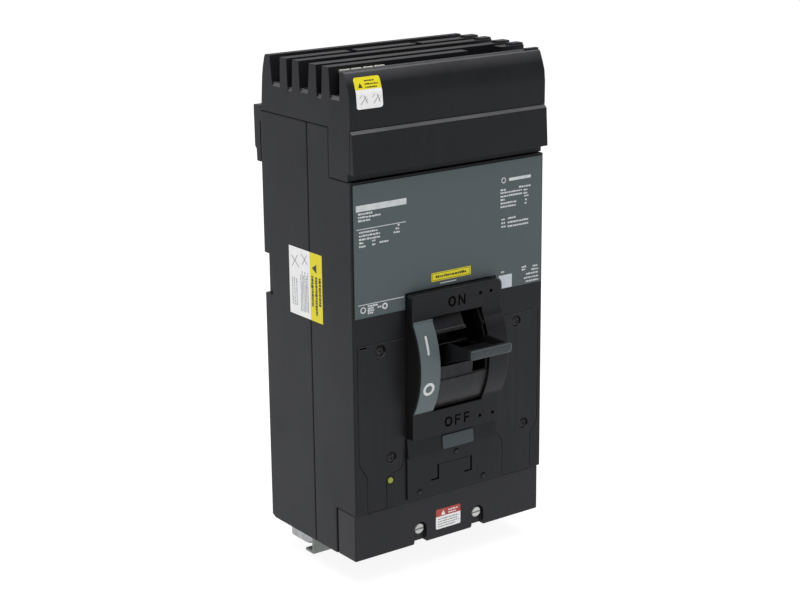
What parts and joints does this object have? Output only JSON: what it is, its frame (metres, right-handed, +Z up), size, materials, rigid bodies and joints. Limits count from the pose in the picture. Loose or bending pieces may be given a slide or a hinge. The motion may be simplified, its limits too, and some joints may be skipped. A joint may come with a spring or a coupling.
{
  "type": "molded case breaker",
  "caption": "Plug-on molded case breaker with toggle handle, arc shutter, sprung bus jaws in a slotted line housing, load lugs, and a trip button.",
  "frame": {"origin": "middle of the flat rear mounting face, 140 mm above the bottom of the case", "axes": "+Z up along the breaker's height towards the line end, +Y out of the rear mounting face, so the handle points to -Y, and +X to the right as seen from the front"},
  "size_m": [0.1524, 0.1522, 0.3343],
  "materials": {
    "thermoset": "fine-grained black moulded thermoset, faint sheen",
    "bezel_black": "satin black moulded plastic",
    "nylon_grey": "satin grey-green moulded plastic",
    "label_grey": "matt slate-grey printed label",
    "copper": "bare copper, slightly dull",
    "jaw_copper": "plated copper alloy, greenish-brass tint",
    "zinc_steel": "zinc-plated steel",
    "black_steel": "blackened steel",
    "spring_steel": "oiled spring wire",
    "aluminium": "tin-plated aluminium",
    "arc_fibre": "red-brown vulcanised fibre",
    "button_green": "yellow-green moulded plastic"
  },
  "bodies": {
    "case": {"accessory_cover_left": "thermoset", "accessory_cover_right": "thermoset", "accessory_screw_1": "black_steel", "accessory_screw_2": "black_steel", "accessory_screw_3": "black_steel", "accessory_screw_4": "black_steel", "arc_chute_1": "arc_fibre", "arc_chute_2": "arc_fibre", "arc_chute_3": "arc_fibre", "base": "thermoset", "bimetal_1": "jaw_copper", "bimetal_2": "jaw_copper", "bimetal_3": "jaw_copper", "blank_inset": "label_grey", "button_spring": "spring_steel", "case_cover": "thermoset", "cover_rivet_1": "black_steel", "cover_rivet_2": "black_steel", "cover_rivet_3": "black_steel", "cover_screw_1": "zinc_steel", "cover_screw_2": "zinc_steel", "foot_bracket": "zinc_steel", "handle_bezel": "bezel_black", "line_end_plate": "thermoset", "line_housing": "thermoset", "line_jaw_1": "jaw_copper", "line_jaw_2": "jaw_copper", "line_jaw_3": "jaw_copper", "line_strap_1": "copper", "line_strap_2": "copper", "line_strap_3": "copper", "load_end_cover": "thermoset", "load_lug_1": "aluminium", "load_lug_2": "aluminium", "load_lug_3": "aluminium", "load_strap_1": "copper", "load_strap_2": "copper", "load_strap_3": "copper", "lug_screw_1": "zinc_steel", "lug_screw_2": "zinc_steel", "lug_screw_3": "zinc_steel", "magnet_yoke_1": "zinc_steel", "magnet_yoke_2": "zinc_steel", "magnet_yoke_3": "zinc_steel", "mechanism_frame": "zinc_steel", "nameplate": "label_grey", "position_strip": "label_grey", "toggle_spring_left": "spring_steel", "toggle_spring_right": "spring_steel", "trip_unit_cover": "thermoset"},
    "handle": {"handle": "bezel_black", "handle_tip": "nylon_grey", "arc_shutter": "bezel_black", "handle_yoke": "zinc_steel"},
    "crossbar": {"crossbar": "bezel_black", "contact_arm_1": "copper", "contact_arm_2": "copper", "contact_arm_3": "copper"},
    "trip_button": {"trip_button": "button_green"},
    "trip_bar": {"trip_bar": "bezel_black"}
  },
  "joints": [
    {"name": "handle_swing", "type": "hinge", "parent": "case", "child": "handle", "pos_m": [0, -0.0585, -0.0165], "axis": [-1, 0, 0], "range_deg": [-32, 13]},
    {"name": "crossbar_turn", "type": "hinge", "parent": "case", "child": "crossbar", "pos_m": [0, -0.0385, 0.01], "axis": [-1, 0, 0], "range_deg": [-13.5, 5.5]},
    {"name": "trip_button_press", "type": "slide", "parent": "case", "child": "trip_button", "axis": [0, 1, 0], "range_m": [0, 0.003], "stiffness_N_per_m": 300, "springref_m": -0.002, "deforming": ["button_spring"]},
    {"name": "trip_bar_turn", "type": "hinge", "parent": "case", "child": "trip_bar", "pos_m": [0, -0.0285, -0.048], "axis": [1, 0, 0], "range_deg": [-0.5, 4.7]}
  ],
  "couplings": [
    {"joint": "crossbar_turn", "follows": "handle_swing", "ratio": 0.4},
    {"joint": "trip_bar_turn", "follows": "trip_button_press", "rad_per_m": 24.4}
  ]
}
